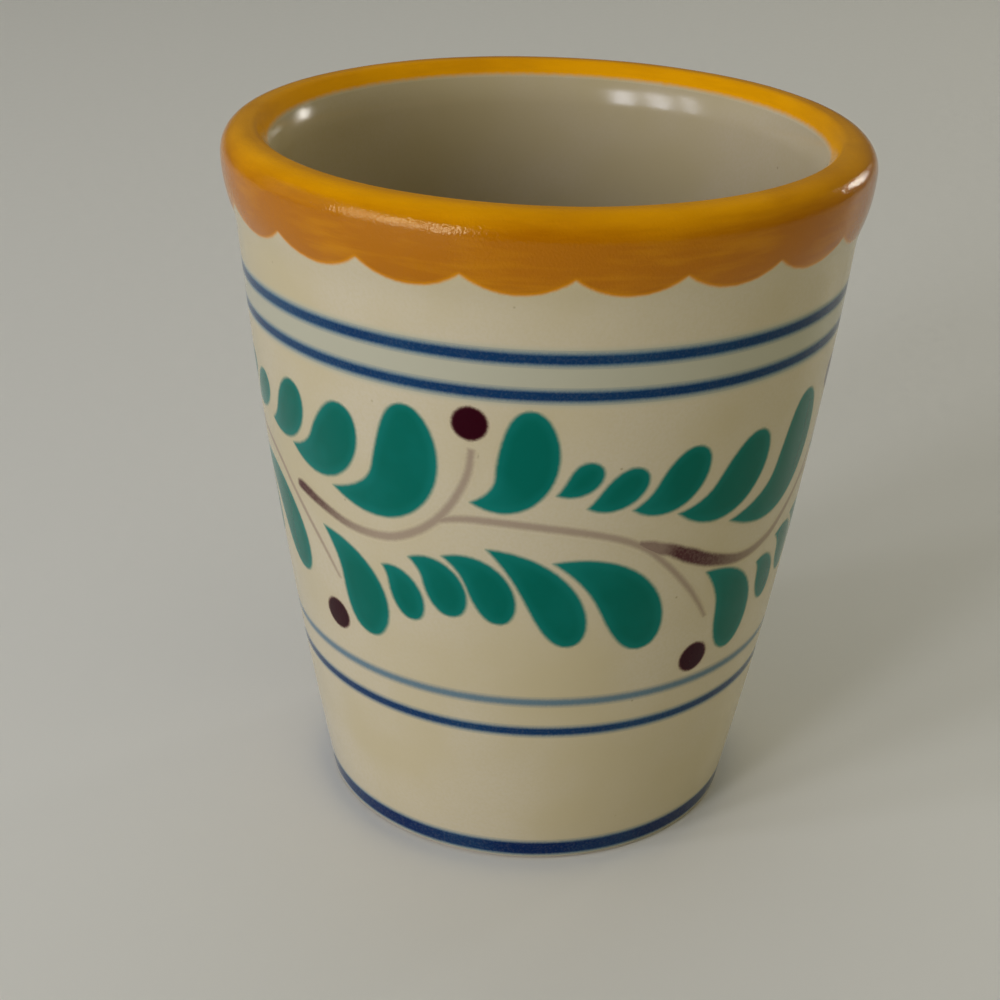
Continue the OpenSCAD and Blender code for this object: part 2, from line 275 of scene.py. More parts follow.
def along(rows):
    """Distance run along an outline at each of its rows."""
    return np.concatenate([[0], np.cumsum(np.linalg.norm(np.diff(rows[:, :2], axis=0), axis=1))])


# Building meshes. Directions are angles from the front, which faces -Y, towards +X.

# Width and share of the broad hollows of the thrown wall, and of the ripples on them.
HOLLOW_SIZE = 34 * MM
HOLLOW_SHARE = 0.45
RIPPLE_SIZE = 9 * MM
RIPPLE_SHARE = 0.15
RIPPLE_SHIFT = Vector((7, 3, 5))


def hand_hollow(points, depth):
    """How far the hand-thrown surface lies under the true one, the same for every layer on it."""
    result = np.empty(len(points))
    for i, p in enumerate(points):
        v = Vector(p)
        broad = noise.noise(v / HOLLOW_SIZE)
        fine = noise.noise(v / RIPPLE_SIZE + RIPPLE_SHIFT)
        result[i] = min(max(0.5 + HOLLOW_SHARE * broad + RIPPLE_SHARE * fine, 0), 1)
    return depth * result


def swept(outline, direction):
    """Points for places of the section, given as radius and height, turned to a direction."""
    out = np.stack([np.sin(direction), -np.cos(direction), np.zeros_like(direction)], -1)
    return outline[..., 0:1] * out + outline[..., 1:2] * np.array([0, 0, 1.0])


def place(rows, direction, lift, form):
    """Points on the cup for rows of the section and directions, lifted off the surface."""
    base = swept(rows[..., :2], direction)
    normal = swept(rows[..., 2:], direction)
    hollow = hand_hollow(base.reshape(-1, 3), form.uneven).reshape(base.shape[:-1])
    return base + normal * (lift - hollow)[..., None]


def grid_faces(grid, first, closed):
    """Quads between the rows of a grid, whose points are counted from first."""
    rows, columns = grid.shape[:2]
    last = columns if closed else columns - 1
    i, j = np.meshgrid(np.arange(rows - 1), np.arange(last), indexing="ij")
    k = (j + 1) % columns
    row, above = i * columns, (i + 1) * columns
    return np.stack([row + j, row + k, above + k, above + j], -1).reshape(-1, 4) + first


def new_piece(name, solid, material, slot, replaced, **values):
    """Adds a mesh that rides on the cup, with values on its points for the material."""
    points, faces, smooth = solid
    mesh = bpy.data.meshes.new(name)
    mesh.from_pydata(points.tolist(), [], faces.tolist())
    mesh.update()
    mesh.polygons.foreach_set("use_smooth", smooth)
    for key, value in values.items():
        mesh.attributes.new(key, "FLOAT", "POINT").data.foreach_set("value", value)
    mesh.materials.append(material)
    piece = bpy.data.objects.new(name, mesh)
    bpy.context.scene.collection.objects.link(piece)
    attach(piece, BODY)
    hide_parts(*replaced)


def rims(upper, lower):
    """Quads between two loops of points."""
    return np.stack([np.roll(upper, -1), upper, lower, np.roll(lower, -1)], -1)


def solid_of(top, bottom, closed, *sides):
    """Points and quads of a thin solid between two grids, with which of them are smooth. The sides
    have points of their own, so that they don't bend the shading at the edge of the face."""
    points = np.vstack([top.reshape(-1, 3), bottom.reshape(-1, 3)])
    face = grid_faces(top, 0, closed)
    back = grid_faces(bottom, top.size // 3, closed)[:, ::-1]
    walls = np.vstack(sides)
    used, index = np.unique(walls, return_inverse=True)
    faces = np.vstack([face, back, index.reshape(walls.shape) + len(points)])
    smooth = np.arange(len(faces)) < len(face)
    return np.vstack([points, points[used]]), faces, smooth


def patch(top, bottom):
    """A thin solid between two grids of the same shape."""
    index = np.arange(top.size // 3).reshape(top.shape[:2])
    loop = np.concatenate([index[0, :-1], index[:-1, -1], index[-1, :0:-1], index[:0:-1, 0]])
    return solid_of(top, bottom, False, rims(loop, loop + index.size))


def ring(top, bottom):
    """A thin solid between two grids that close round the cup; the lower one may have fewer rows."""
    half, last = top.size // 3, (top.size + bottom.size) // 3
    loop = np.arange(top.shape[1])
    back = loop[::-1] - len(loop)
    return solid_of(top, bottom, True, rims(loop, loop + half), rims(back + half, back + last))


# Nobody sees the underside of a layer, so only every sixth row of it is kept.
UNDER_STEP = 6


def lathe(rows, columns, lift, depth, form):
    """A ring or dish of the section's rows, with its underside at a depth."""
    direction = np.linspace(0, 2 * math.pi, columns, endpoint=False)
    top = place(rows[:, None], direction, lift, form)
    some = rows[sorted({*range(0, len(rows), UNDER_STEP), len(rows) - 1})]
    under = some[:, :2] - depth * some[:, 2:]
    return ring(top, swept(under[:, None], direction))


def spread(values, solid):
    """Values for all points of a solid from those of its face, which come first."""
    return np.pad(values.ravel(), (0, len(solid[0]) - values.size))


# Brushwork. A stroke is an outline in a flat plane that faces its direction, as in the part's source.

SPRAYS = "abcd"
# How much of the turn each spray takes, and how far its leaves slip along it.
SPRAY_WIDTH_SHARES = (0.234, 0.25, 0.258, 0.258)
UPPER_SLIP_SHARES = (0, -0.02, 0, 0.01)
LOWER_SLIP_SHARES = (0, -0.005, 0.01, 0.03)
# Tail, bend and head of each leaf, across and up, then half its width as a share of the height.
UPPER_LEAF_SHARES = (
    (0.511, 0.655, 0.668, 0.658, 0.634, 0.954, 0.083),
    (0.698, 0.705, 0.755, 0.729, 0.782, 0.809, 0.043),
    (0.766, 0.668, 0.831, 0.683, 0.888, 0.788, 0.051),
    (-0.103, 0.66, 0, 0.662, 0.038, 0.843, 0.068),
    (0.003, 0.635, 0.16, 0.596, 0.203, 0.85, 0.082),
    (0.15, 0.573, 0.41, 0.55, 0.36, 0.912, 0.097),
)
LOWER_LEAF_SHARES = (
    (0.093, 0.415, 0.257, 0.327, 0.21, 0.106, 0.081),
    (0.28, 0.374, 0.345, 0.362, 0.36, 0.216, 0.052),
    (0.356, 0.43, 0.451, 0.426, 0.462, 0.262, 0.061),
    (0.441, 0.462, 0.564, 0.453, 0.579, 0.264, 0.063),
    (0.547, 0.512, 0.712, 0.436, 0.75, 0.206, 0.073),
    (0.698, 0.488, 0.909, 0.45, 0.932, 0.188, 0.086),
)
# Points that a stem runs through, across and up, then its half width as a share of that at its start.
STEM_SHARES = (
    (0.3, 0.475, 0.75), (0.37, 0.513, 0.7), (0.43, 0.573, 0.65),
    (0.475, 0.65, 0.6), (0.507, 0.74, 0.55), (0.517, 0.82, 0.5),
)
# On every other spray the brush smeared before it began the stem.
CLEAN_START_SHARES = (
    (0, 0.506, 0.45), (0.01, 0.505, 0.85), (0.035, 0.502, 1), (0.1, 0.485, 0.85), (0.2, 0.464, 0.75),
)
SMEARED_START_SHARES = (
    (-0.1, 0.525, 0.35), (-0.075, 0.519, 0.9), (-0.045, 0.512, 1.1), (-0.02, 0.512, 1.05),
    (0.01, 0.503, 1.15), (0.035, 0.496, 1.3), (0.1, 0.48, 1.15), (0.2, 0.464, 0.9),
)
BRANCH_SHARES = (
    (0.436, 0.577, 0.5), (0.5, 0.598, 0.6), (0.58, 0.604, 0.65), (0.66, 0.602, 0.65),
    (0.74, 0.594, 0.65), (0.81, 0.58, 0.6), (0.87, 0.558, 0.6), (0.92, 0.525, 0.55), (0.96, 0.483, 0.5),
    (1, 0.437, 0.5), (1.05, 0.37, 0.45), (1.09, 0.308, 0.35), (1.12, 0.255, 0.25),
)
# How much deeper than that the stem of each spray sags before it rises, and how far across.
STEM_SAG_SHARES = (0, 0.036, 0.012, 0.024)
SAG_WIDTH_SHARE = 0.37
BERRY_SHARES = ((0.513, 0.895), (0.1, 0.115))
# Where along a leaf it is widest, and how bluntly its head ends.
BELLY_SHARE = 0.68
HEAD_POWER = 0.45


class Garland:
    """Turns shares of a spray into places on the cup's wall."""

    def __init__(self, section, painting):
        self.section = section
        self.painting = painting
        low_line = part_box("low_line_upper")
        top_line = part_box("top_line_lower")
        self.low = (low_line[0].z + low_line[1].z) / 2
        self.high = (top_line[0].z + top_line[1].z) / 2

    def direction(self, spray, across):
        """Direction of a place across a spray."""
        start = sum(SPRAY_WIDTH_SHARES[:spray]) + SPRAY_WIDTH_SHARES[spray] * across
        return self.painting.garland_turn + 2 * math.pi * start

    def height(self, direction, up):
        """Height of a place, with the drift of the painter's hand."""
        drift = self.painting.garland_drift * math.sin(direction)
        return self.low + (self.high - self.low) * up - drift

    def flat(self, spray, share, facing):
        """A place as a point of the flat plane that faces a direction."""
        direction = self.direction(spray, share[0])
        z = self.height(direction, share[1])
        return np.array([self.section.wall_r(z) * math.sin(direction - facing), z])

    def on_wall(self, flat, facing):
        """Rows of the section and directions for points of that flat plane."""
        z = flat[..., 1]
        r = self.section.wall_r(z)
        direction = facing + np.arcsin(np.clip(flat[..., 0] / r, -1, 1))
        spot = np.stack([r, z], -1)
        normal = (spot - self.section.wall_c) / self.section.wall_round
        return np.concatenate([spot, normal], -1), direction


def swell(t):
    """Width of a leaf from its tail, at 0, to its head, at 1, as a share of its widest."""
    tail_power = HEAD_POWER * BELLY_SHARE / (1 - BELLY_SHARE)
    return (t / BELLY_SHARE) ** tail_power * ((1 - t) / (1 - BELLY_SHARE)) ** HEAD_POWER


# Stands in for a length of nought in a division.
TINY = 1e-18


def inside_distance(points, outline):
    """Distance of each point from a closed outline, positive inside."""
    a, b = outline, np.roll(outline, -1, axis=0)
    edge = b - a
    to = points[:, None, :] - a[None]
    t = np.clip((to * edge).sum(-1) / np.maximum((edge * edge).sum(-1), TINY), 0, 1)
    nearest = np.linalg.norm(to - t[..., None] * edge, axis=-1).min(-1)
    above = (a[:, 1] > points[:, 1:2]) != (b[:, 1] > points[:, 1:2])
    rise = np.where(edge[:, 1] == 0, TINY, edge[:, 1])
    crossing = a[:, 0] + (points[:, 1:2] - a[:, 1]) * edge[:, 0] / rise
    odd = (above & (points[:, 0:1] < crossing)).sum(-1) % 2 == 1
    return np.where(odd, nearest, -nearest)


# Stations along a stroke, steps from one point of a stem to the next, and steps across half a stroke,
# fine enough that the flat faces of a stroke stay above the round wall.
LEAF_STATIONS = 71
BERRY_STATIONS = 21
STEM_STEPS = 14
CORE_STEPS = 8
# A stroke is at least this share of its soft edge wide.
LEAST_WIDTH = 0.25


def stroke_grid(spine, half_width, bleed):
    """A grid over a stroke and its soft edge: points, distance inside and distance run along it."""
    heading = np.gradient(spine, axis=0)
    heading /= np.linalg.norm(heading, axis=1)[:, None]
    side = np.stack([-heading[:, 1], heading[:, 0]], -1)
    reach = half_width[:, None] * side
    outline = np.vstack([spine + reach, (spine - reach)[::-1]])
    spine = np.vstack([spine[:1] - heading[:1] * bleed, spine, spine[-1:] + heading[-1:] * bleed])
    side = np.vstack([side[:1], side, side[-1:]])
    width = np.maximum(np.concatenate([[0], half_width, [0]]), LEAST_WIDTH * bleed)
    inner = np.minimum(bleed, width / 2)
    core = (width - inner)[:, None] * np.linspace(1, 0, CORE_STEPS)
    half = np.hstack([(width + bleed)[:, None], width[:, None], core])
    stations = np.hstack([-half, half[:, -2::-1]])
    points = spine[:, None, :] + stations[..., None] * side[:, None, :]
    distance = inside_distance(points.reshape(-1, 2), outline).reshape(stations.shape)
    run = np.concatenate([[0], np.cumsum(np.linalg.norm(np.diff(spine, axis=0), axis=1))])
    return points, distance, np.repeat(run[:, None], stations.shape[1], 1)


# Depth of the pigment under the glaze where its soft edge ends, its height on the glaze at the
# stroke's outline, and how far inside that it stands full.
SUNK = 0.001 * MM
COVERED = 0.003 * MM
RISE = 1.5 * MM


def raised(distance, lift, bleed):
    """How far pigment stands on the glaze. It starts just under it and rises so gently that no
    ridge shows round a stroke."""
    edge = np.clip((distance + bleed) / bleed, 0, 1)
    return -SUNK + (COVERED + SUNK) * edge + lift * np.clip(distance / RISE, 0, 1)


class Layer:
    """Thin solids of one pigment on the wall, gathered into one piece."""

    def __init__(self, garland, form, lift, bleed):
        self.garland, self.form, self.lift, self.bleed = garland, form, lift, bleed
        self.strokes = []

    def add(self, spine, half_width, facing, start=0.0, fullness=1.0):
        """Lays one stroke on the wall. At its tail the brush is as far on as start says."""
        flat, distance, run = stroke_grid(spine, half_width, self.bleed)
        rows, direction = self.garland.on_wall(flat, facing)
        lift = raised(distance, fullness * self.lift, self.bleed)
        top = place(rows, direction, lift, self.form)
        bottom = place(rows, direction, -self.form.glaze_t / 2, self.form)
        solid = patch(top, bottom)
        share = start + (1 - start) * run / run.max()
        self.strokes.append((*solid, spread(distance, solid), spread(share, solid)))

    def piece(self, name, material, slot):
        """Adds the gathered strokes as one piece."""
        points, faces, *rest = zip(*self.strokes)
        first = np.cumsum([0] + [len(p) for p in points])
        faces = np.vstack([f + k for f, k in zip(faces, first)])
        smooth, depth, share = [np.concatenate(values) for values in rest]
        solid = np.vstack(points), faces, smooth
        new_piece(name + "_brushed", solid, material, slot, [name], depth=depth, share=share)


def smooth_run(points):
    """A smooth curve through a list of points."""
    points = np.asarray(points)
    last = len(points) - 1
    run = []
    for i in range(last):
        a, b, c, d = points[max(i - 1, 0)], points[i], points[i + 1], points[min(i + 2, last)]
        for k in range(STEM_STEPS):
            t = k / STEM_STEPS
            bend = a - 2.5 * b + 2 * c - d / 2
            run.append(b + t * (c - a) / 2 + t**2 * bend + t**3 * (1.5 * (b - c) + (d - a) / 2))
    return np.array(run + [points[-1]])


# Each of the next functions gives the spine that a brush follows in the flat plane, half the width of
# its stroke there, and the direction that the plane faces.


def leaf_stroke(garland, spray, shares, slip):
    """One leaf, drawn from its tail to its head."""
    places = [(shares[i] + slip, shares[i + 1]) for i in (0, 2, 4)]
    facing = garland.direction(spray, (places[0][0] + places[2][0]) / 2)
    tail, bend, head = [garland.flat(spray, p, facing) for p in places]
    ease = np.linspace(0, math.pi, LEAF_STATIONS)
    t = (1 - np.cos(ease)) / 2
    s = t[:, None]
    spine = (1 - s) ** 2 * tail + 2 * s * (1 - s) * bend + s**2 * head
    return spine, shares[6] * (garland.high - garland.low) * swell(t), facing


def stem_stroke(garland, spray, shares, half_w):
    """One stem or branch, which sags more on some sprays."""
    facing = garland.direction(spray, (shares[0][0] + shares[-1][0]) / 2)
    sag = STEM_SAG_SHARES[spray]
    through = []
    for across, up, width in shares:
        up -= sag * math.sin(math.pi * min(across / SAG_WIDTH_SHARE, 1))
        through.append([*garland.flat(spray, (across, up), facing), width * half_w])
    run = smooth_run(through)
    return run[:, :2], run[:, 2], facing


def berry_stroke(garland, spray, share, radius):
    """One berry, a round dab drawn upward."""
    facing = garland.direction(spray, share[0])
    middle = np.array([0, garland.height(facing, share[1])])
    up = -np.cos(np.linspace(0, math.pi, BERRY_STATIONS))
    spine = middle + np.stack([0 * up, radius * up], -1)
    return spine, radius * np.sqrt(np.maximum(1 - up**2, 0)), facing


# Materials. Every layer shows the cream glaze where its pigment gives out, so the glaze is one
# function, worked out from the object's own coordinates, and joins without a seam.

EASED = {"interpolation_type": "SMOOTHSTEP"}
COLOUR = {"data_type": "RGBA"}
PLUS = {"operation": "ADD"}
TIMES = {"operation": "MULTIPLY"}
WHITE = (1.0, 1.0, 1.0, 1.0)


def add(tree, kind, inputs=(), output=None, **settings):
    """Adds a node with its settings, and gives back its first output or the one that is named. The
    inputs are listed in order or named in a dictionary, each a value or another node's output."""
    node = tree.nodes.new("ShaderNode" + kind)
    for key, value in settings.items():
        setattr(node, key, value)
    if isinstance(inputs, dict):
        pairs = [(node.inputs[key], value) for key, value in inputs.items()]
    else:
        pairs = zip([s for s in node.inputs if s.enabled], inputs)
    for socket, value in pairs:
        if isinstance(value, bpy.types.NodeSocket):
            tree.links.new(value, socket)
        else:
            socket.default_value = value
    return next((s for s in node.outputs if s.enabled and output in (None, s.name)), None)


def patches(tree, where, across, low, high, weak=0.0, strong=1.0, detail=2.0, roughness=0.5):
    """Soft patches of a real size across: weak where the cloud is under low, strong where over high."""
    cloud = add(tree, "TexNoise", [where, 1 / across, detail, roughness])
    return add(tree, "MapRange", [cloud, low, high, weak, strong], **EASED)


def wandering(tree, where, across, reach, middle=0.5, detail=2.0, roughness=0.5):
    """A value that wanders to both sides of zero, over patches of a real size across."""
    cloud = add(tree, "TexNoise", [where, 1 / across, detail, roughness])
    off = add(tree, "Math", [cloud, middle], operation="SUBTRACT")
    return add(tree, "Math", [off, reach], **TIMES)


def by_place(tree, value, low, high, start=0.0, end=1.0):
    """A value that goes from start to end with a place that the mesh carries: depth, inward from
    the edge of the paint, or share, along the stroke or down from the crown of the lip."""
    carried = add(tree, "Attribute", output="Fac", attribute_name=value)
    return add(tree, "MapRange", [carried, low, high, start, end], **EASED)


# The cobalt of the two upper lines tinges the glaze between them, and fades out beyond them.
BLUSH_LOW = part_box("top_line_lower")[0].z
BLUSH_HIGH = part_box("top_line_upper")[1].z
BLUSH_FADE = 1.2 * MM
SPECK_GAP = 5 * MM
SPECK_SIZE = 0.28 * MM
SPECK_CORE = 0.35
SPECK_STRENGTH = 0.55


def mottled(tree, where, even, warm):
    """Glaze of an even colour, with broad and fine patches of a warmer one."""
    broad = patches(tree, where, 22 * MM, 0.35, 0.7)
    grain = patches(tree, where, 0.5 * MM, 0.3, 0.75, strong=0.35, detail=1.0)
    body = add(tree, "Mix", [broad, even, warm], **COLOUR)
    return add(tree, "Mix", [grain, body, warm], **COLOUR)


def specked(tree, where, body, speck):
    """Glaze with sparse iron specks, one to a cell of the gap's size and only in some fields."""
    cell = add(tree, "TexVoronoi", [where, 1 / SPECK_GAP])
    reach = SPECK_SIZE / SPECK_GAP
    near = add(tree, "MapRange", [cell, SPECK_CORE * reach, reach, 1.0, 0.0], **EASED)
    field = patches(tree, where, 7 * MM, 0.5, 0.6, detail=0.0)
    faint = add(tree, "Math", [field, SPECK_STRENGTH], **TIMES)
    shown = add(tree, "Math", [near, faint], **TIMES)
    return add(tree, "Mix", [shown, body, speck], **COLOUR)


def cream_glaze(tree, where, colours):
    """Opaque tin glaze, dipped and fired: even cream, a little warmer where it ran thin and greyer
    between the two upper lines, which tinge it, with sparse iron specks and a fine grain."""
    body = mottled(tree, where, colours.cream, colours.cream_warm)
    height = add(tree, "SeparateXYZ", [where], output="Z")
    above = add(tree, "MapRange", [height, BLUSH_LOW - BLUSH_FADE, BLUSH_LOW], **EASED)
    below = add(tree, "MapRange", [height, BLUSH_HIGH, BLUSH_HIGH + BLUSH_FADE, 1.0, 0.0], **EASED)
    between = add(tree, "Math", [above, below], **TIMES)
    body = add(tree, "Mix", [between, body, colours.cream_blush], **COLOUR)
    return specked(tree, where, body, colours.speck)


# Height of the soft orange peel and of the fine grit in a glassy skin, and their sizes across.
GLAZE_PEEL = 0.02 * MM
GLAZE_GRIT = 0.002 * MM
PEEL_SIZE = 5 * MM
GRIT_SIZE = 0.35 * MM
GLAZE_ROUGHNESS = 0.18
GLAZE_IOR = 1.46
GLOSS_SWING = 0.15


def fire(tree, where, colour, peel, grit, roughness, ior=GLAZE_IOR, gloss=WHITE):
    """Gives a material its fired surface: a skin with soft orange peel and fine grit, whose gloss
    swings a little from place to place."""
    waves = []
    for across, height in ((PEEL_SIZE, peel), (GRIT_SIZE, grit)):
        cloud = add(tree, "TexNoise", [where, 1 / across, 1.0])
        waves.append(add(tree, "Math", [cloud, height], **TIMES))
    relief = add(tree, "Math", waves, **PLUS)
    normal = add(tree, "Bump", {"Strength": 1.0, "Distance": 1.0, "Height": relief})
    smooth, rough = roughness * (1 - GLOSS_SWING), roughness * (1 + GLOSS_SWING)
    skin = {
        "Base Color": colour,
        "Roughness": patches(tree, where, 3 * MM, 0.3, 0.7, smooth, rough),
        "IOR": ior,
        "Specular Tint": gloss,
        "Normal": normal,
    }
    add(tree, "OutputMaterial", [add(tree, "BsdfPrincipled", skin)])


def new_material(name):
    """An empty material, its node tree and the object's own coordinates."""
    material = bpy.data.materials.new(name)
    material.use_nodes = True
    tree = material.node_tree
    tree.nodes.clear()
    return material, tree, add(tree, "TexCoord", output="Object")


def cream_tin_glaze(colours):
    """Cream tin glaze: semi-gloss, so that it shows the table softly and lamps as short bright marks."""
    material, tree, where = new_material("cream_tin_glaze")
    body = cream_glaze(tree, where, colours)
    fire(tree, where, body, GLAZE_PEEL, GLAZE_GRIT, GLAZE_ROUGHNESS)
    return material


def cream_tin_glaze_inside_shaded(colours):
    """The same glaze, poured into the cup and free of the cobalt's tinge, painted a shade darker as
    painted shade for the dimmer light inside the cup.
    """
    material, tree, where = new_material("cream_tin_glaze_inside_shaded")
    body = mottled(tree, where, colours.cream_inside_shaded, colours.cream_inside_warm_shaded)
    body = specked(tree, where, body, colours.speck)
    fire(tree, where, body, GLAZE_PEEL, GLAZE_GRIT, GLAZE_ROUGHNESS)
    return material


# A pigment drinks most of the glaze's gloss, and what is left takes the pigment's own tint.
PIGMENT_IOR = 1.22
PIGMENT_ROUGHNESS = 0.16
OCHRE_GLOSS = (1.0, 0.86, 0.5, 1.0)
COBALT_GLOSS = (0.45, 0.75, 1.0, 1.0)
GREEN_GLOSS = (0.4, 1.0, 0.95, 1.0)
MAROON_GLOSS = (1.0, 0.4, 0.5, 1.0)


def fire_pigment(
    tree, where, colours, thin_thick, amount, cover, gloss=WHITE,
    peel=GLAZE_PEEL, grit=GLAZE_GRIT, roughness=PIGMENT_ROUGHNESS, ior=PIGMENT_IOR,
):
    """A pigment brushed on the raw glaze and fired into it, from its thin to its thick colour."""
    pigment = add(tree, "Mix", [amount, *thin_thick], **COLOUR)
    colour = add(tree, "Mix", [cover, cream_glaze(tree, where, colours), pigment], **COLOUR)
    fire(tree, where, colour, peel, grit, roughness, ior, gloss)


def soft_edge(tree, where, width, ragged, grain):
    """Cover of a stroke: full inside, nothing outside, with an edge that bled a little."""
    depth = add(tree, "Attribute", output="Fac", attribute_name="depth")
    stray = wandering(tree, where, grain, ragged, roughness=0.6)
    distance = add(tree, "Math", [depth, stray], **PLUS)
    return add(tree, "MapRange", [distance, -width / 2, width / 2], **EASED)


def ochre_over_glaze(colours, bleed):
    """Iron ochre, laid round the turning rim with a full brush: streaks run round, yellow where thin at
    the crown and at the edges, brown where it pooled under the lip. The yellow of the upward-facing
    crown is also painted light, and the brown of the outward side is also painted shade."""
    material, tree, where = new_material("ochre_over_glaze")
    drawn_out = add(tree, "Mapping", {"Vector": where, "Scale": (0.12, 0.12, 1.0)})
    streaks = patches(tree, drawn_out, 1.3 * MM, 0.3, 0.7, detail=3.0, roughness=0.6)
    streaks = add(tree, "Math", [streaks, 0.18], **TIMES)
    # Thicker and browner down from the crown: partly ochre pooled under the lip, partly painted shade on
    # the outward side, with the crown's yellow standing for the light that it gets from above.
    pooled_and_shaded = add(tree, "Math", [by_place(tree, "share", 0.1, 0.42), 0.85], **TIMES)
    amount = add(tree, "Math", [streaks, pooled_and_shaded], **PLUS)
    broad = wandering(tree, where, 12 * MM, 0.6, detail=1.0)
    amount = add(tree, "Math", [amount, broad], **PLUS)
    fringe = by_place(tree, "depth", -0.3 * MM, 0.7 * MM, 0.4, 1.0)
    amount = add(tree, "Math", [amount, fringe], **TIMES)
    cover = soft_edge(tree, where, 1.4 * bleed, ragged=0.25 * MM, grain=0.9 * MM)
    fire_pigment(
        tree, where, colours, (colours.ochre_thin_and_lit, colours.ochre_thick_and_shaded), amount, cover,
        OCHRE_GLOSS, peel=0.04 * MM, grit=0.045 * MM, roughness=0.12, ior=1.4,
    )
    return material


def banded_cobalt(name, colours, thick, bleed, strength):
    """Cobalt run on a turning wheel: a deep core, paler where the brush ran dry, with a wide soft
    fringe where it bled into the wet glaze."""
    material, tree, where = new_material(name)
    core = by_place(tree, "depth", 0.0, 0.6 * MM, 0.1, 1.05)
    broad = wandering(tree, where, 18 * MM, 0.9, middle=0.55, detail=1.0)
    grain = wandering(tree, where, 0.4 * MM, 0.35, roughness=0.6)
    amount = add(tree, "Math", [core, broad], **PLUS)
    amount = add(tree, "Math", [amount, grain], **PLUS)
    edge = soft_edge(tree, where, 2.4 * bleed, ragged=0.3 * MM, grain=0.3 * MM)
    fringe = by_place(tree, "depth", -3.2 * bleed, 0.0, 0.0, 0.3)
    edge = add(tree, "Math", [edge, fringe], operation="MAXIMUM")
    dry = patches(tree, where, 0.35 * MM, 0.25, 0.6, 0.96 * strength, strength, detail=1.0)
    cover = add(tree, "Math", [edge, dry], **TIMES)
    fire_pigment(tree, where, colours, (colours.cobalt_thin, thick), amount, cover, COBALT_GLOSS)
    return material


def copper_green(colours, bleed):
    """Copper green, one comma stroke a leaf: watery at the tail, deep where the brush rested."""
    material, tree, where = new_material("copper_green")
    rest = by_place(tree, "share", 0.0, 0.5, 0.35, 1.0)
    inner = by_place(tree, "depth", 0.0, 1.8 * MM, 0.35, 1.0)
    amount = add(tree, "Math", [rest, inner], **TIMES)
    wash = wandering(tree, where, 6 * MM, 0.9)
    amount = add(tree, "Math", [amount, wash], **PLUS)
    cover = soft_edge(tree, where, 1.8 * bleed, ragged=0.18 * MM, grain=0.6 * MM)
    greens = colours.green_thin, colours.green_thick
    fire_pigment(tree, where, colours, greens, amount, cover, GREEN_GLOSS)
    return material


def manganese_mauve(colours, bleed):
    """Thin manganese wash: dark where the brush was set down, then a pale grainy line."""
    material, tree, where = new_material("manganese_mauve")
    set_down = by_place(tree, "share", -0.13, -0.045, 0.3, 1.0)
    run_out = by_place(tree, "share", 0.08, 0.46, 1.0, 0.15)
    grain = patches(tree, where, 0.4 * MM, 0.3, 0.7, 0.85, 1.05, detail=1.0)
    amount = add(tree, "Math", [set_down, run_out], **TIMES)
    amount = add(tree, "Math", [amount, grain], **TIMES)
    edge = soft_edge(tree, where, 1.9 * bleed, ragged=0.3 * MM, grain=0.35 * MM)
    wash = by_place(tree, "share", 0.0, 0.35, 1.0, 0.75)
    cover = add(tree, "Math", [edge, wash], **TIMES)
    mauves = colours.mauve_thin, colours.mauve_thick
    fire_pigment(tree, where, colours, mauves, amount, cover)
    return material


def manganese_maroon(colours, bleed):
    """Thick manganese dab, nearly black in the middle, with a grainy purple edge."""
    material, tree, where = new_material("manganese_maroon")
    amount = by_place(tree, "depth", 0.0, 0.5 * MM)
    cover = soft_edge(tree, where, 1.4 * bleed, ragged=0.3 * MM, grain=0.35 * MM)
    maroons = colours.mauve_thick, colours.maroon
    fire_pigment(tree, where, colours, maroons, amount, cover, MAROON_GLOSS)
    return material


def bare_clay(colours):
    """Buff earthenware, fired and wiped: matt, with darker grog grains and fine pits."""
    material, tree, where = new_material("bare_earthenware")
    grog = patches(tree, where, 0.8 * MM, 0.45, 0.7, strong=0.5, detail=3.0, roughness=0.7)
    colour = add(tree, "Mix", [grog, colours.clay, colours.grog], **COLOUR)
    fire(tree, where, colour, peel=0.03 * MM, grit=0.05 * MM, roughness=0.8)
    return material


def dress(node, material):
    """Gives a solid of the frame its finish."""
    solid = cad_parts[node]
    solid.data.materials.clear()
    solid.data.materials.append(material)


def shape():
    """The section and the garland for the sizes that are set, with the settings themselves."""
    scene = bpy.context.scene
    form, painting = scene.cup_form, scene.cup_painting
    section = Section(form)
    return section, Garland(section, painting), form, painting, scene.cup_colours


def paint_ring(name, nodes, slot, material, rows, **values):
    """Adds a pigment that runs round the cup, with values for each row and direction: its depth,
    inward from its edge, and for the ochre its share of the way down from the crown."""
    _, _, form, painting, _ = shape()
    lift = raised(values["depth"], painting.paint_lift, painting.bleed)
    solid = lathe(rows, lift.shape[1], lift, form.glaze_t / 2, form)
    values = {key: spread(value, solid) for key, value in values.items()}
    new_piece(name, solid, material, slot, nodes, **values)


# Distance between the rows of a mesh, longer on the wall than where the outline curves.
WALL_STEP = 0.9 * MM
SWELLING_STEP = 0.4 * MM
FLARE_STEP = 0.22 * MM
OCHRE_STEP = 0.28 * MM
OCHRE_WALL_STEP = 0.5 * MM
OCHRE_FLARE_STEP = 0.25 * MM
ROUND_COLUMNS = 480
SCALLOP_COLUMNS = 40


